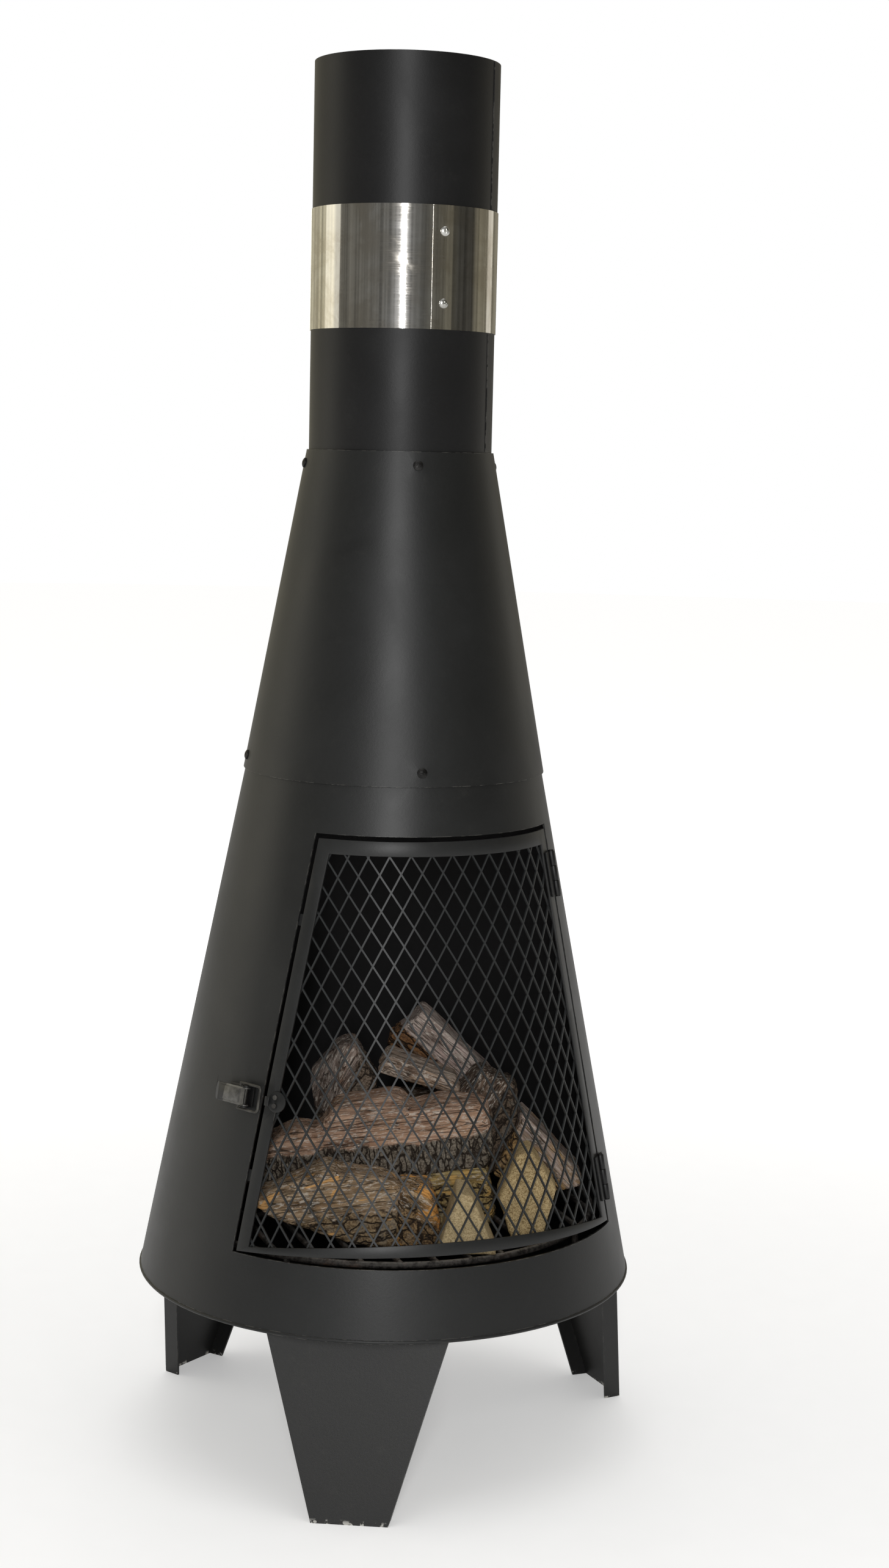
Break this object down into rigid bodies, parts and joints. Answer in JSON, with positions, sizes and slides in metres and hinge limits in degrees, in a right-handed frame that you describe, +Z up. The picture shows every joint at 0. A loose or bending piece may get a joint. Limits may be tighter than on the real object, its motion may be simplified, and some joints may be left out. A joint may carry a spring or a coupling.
{
  "type": "wood burning stove",
  "caption": "Free-standing outdoor wood burning stove: conical sheet-steel firebox with a hinged mesh door, conical hood, straight flue with a polished band, and folded legs.",
  "frame": {"origin": "on the floor, on the vertical axis of the flue and cones", "axes": "+Z up along the flue; the door faces -Y, its hinges are on the +X side and its latch on the -X side"},
  "size_m": [0.4653, 0.4549, 1.235],
  "materials": {
    "stove_paint": "satin heat-resistant charcoal paint",
    "door_paint": "satin heat-resistant charcoal paint, slightly greyer",
    "hinge_black": "black painted steel",
    "black_steel": "blackened steel fasteners",
    "bright_steel": "bright plated fasteners",
    "latch_steel": "dulled zinc-plated steel",
    "stainless": "mirror-polished stainless steel with fine scratches",
    "grate_iron": "bare dark steel rod",
    "wood_tan": "split dry firewood",
    "wood_bark": "rough bark",
    "wood_cut": "pale sawn wood",
    "wood_weathered": "weathered grey-pink split wood"
  },
  "bodies": {
    "stove": {"flue_pipe": "stove_paint", "flue_band": "stainless", "band_screws": "bright_steel", "neck_screws": "black_steel", "neck_nuts": "black_steel", "smoke_hood": "stove_paint", "waist_screws": "black_steel", "waist_nuts": "black_steel", "firebox_shell": "stove_paint", "base_pan": "stove_paint", "fire_grate": "grate_iron", "leg_front": "stove_paint", "leg_rear_right": "stove_paint", "leg_rear_left": "stove_paint", "leg_bolts": "black_steel", "leg_nuts": "black_steel", "door_stops": "door_paint", "hinge_body_leaf_upper": "hinge_black", "hinge_body_leaf_lower": "hinge_black", "hinge_pin_upper": "black_steel", "hinge_pin_lower": "black_steel", "latch_base": "hinge_black", "latch_base_rivets": "black_steel", "latch_pin": "latch_steel", "log_tapered": "wood_tan", "log_gnarled": "wood_bark", "log_cut_wedge": "wood_cut", "log_pale_wedge": "wood_cut", "log_long": "wood_weathered", "log_under": "wood_bark", "log_end_grain": "wood_bark", "log_plank": "wood_tan", "log_split_chunk": "wood_bark", "log_apex_split": "wood_weathered", "log_small_bark": "wood_weathered", "log_back": "wood_bark"},
    "door": {"door_frame": "door_paint", "door_mesh": "door_paint", "hinge_door_leaf_upper": "hinge_black", "hinge_door_leaf_lower": "hinge_black", "latch_strike": "door_paint", "strike_rivets": "bright_steel"},
    "latch_lever": {"latch_lever": "latch_steel"},
    "latch_loop": {"latch_loop": "latch_steel"}
  },
  "joints": [
    {"name": "door_hinge", "type": "hinge", "parent": "stove", "child": "door", "pos_m": [0.16384, -0.12709, 0.2575], "axis": [-0.1535, 0.1191, 0.9809], "range_deg": [0, 130]},
    {"name": "lever_pivot", "type": "hinge", "parent": "stove", "child": "latch_lever", "pos_m": [-0.16398, -0.10118, 0.34705], "axis": [0.1699, 0.0942, 0.9809], "range_deg": [0, 120]},
    {"name": "loop_pivot", "type": "hinge", "parent": "latch_lever", "child": "latch_loop", "pos_m": [-0.16737, -0.09506, 0.34705], "axis": [0.1699, 0.0942, 0.9809], "range_deg": [-150, 0]}
  ],
  "couplings": [
    {"joint": "loop_pivot", "follows": "lever_pivot", "ratio": -1.25}
  ]
}
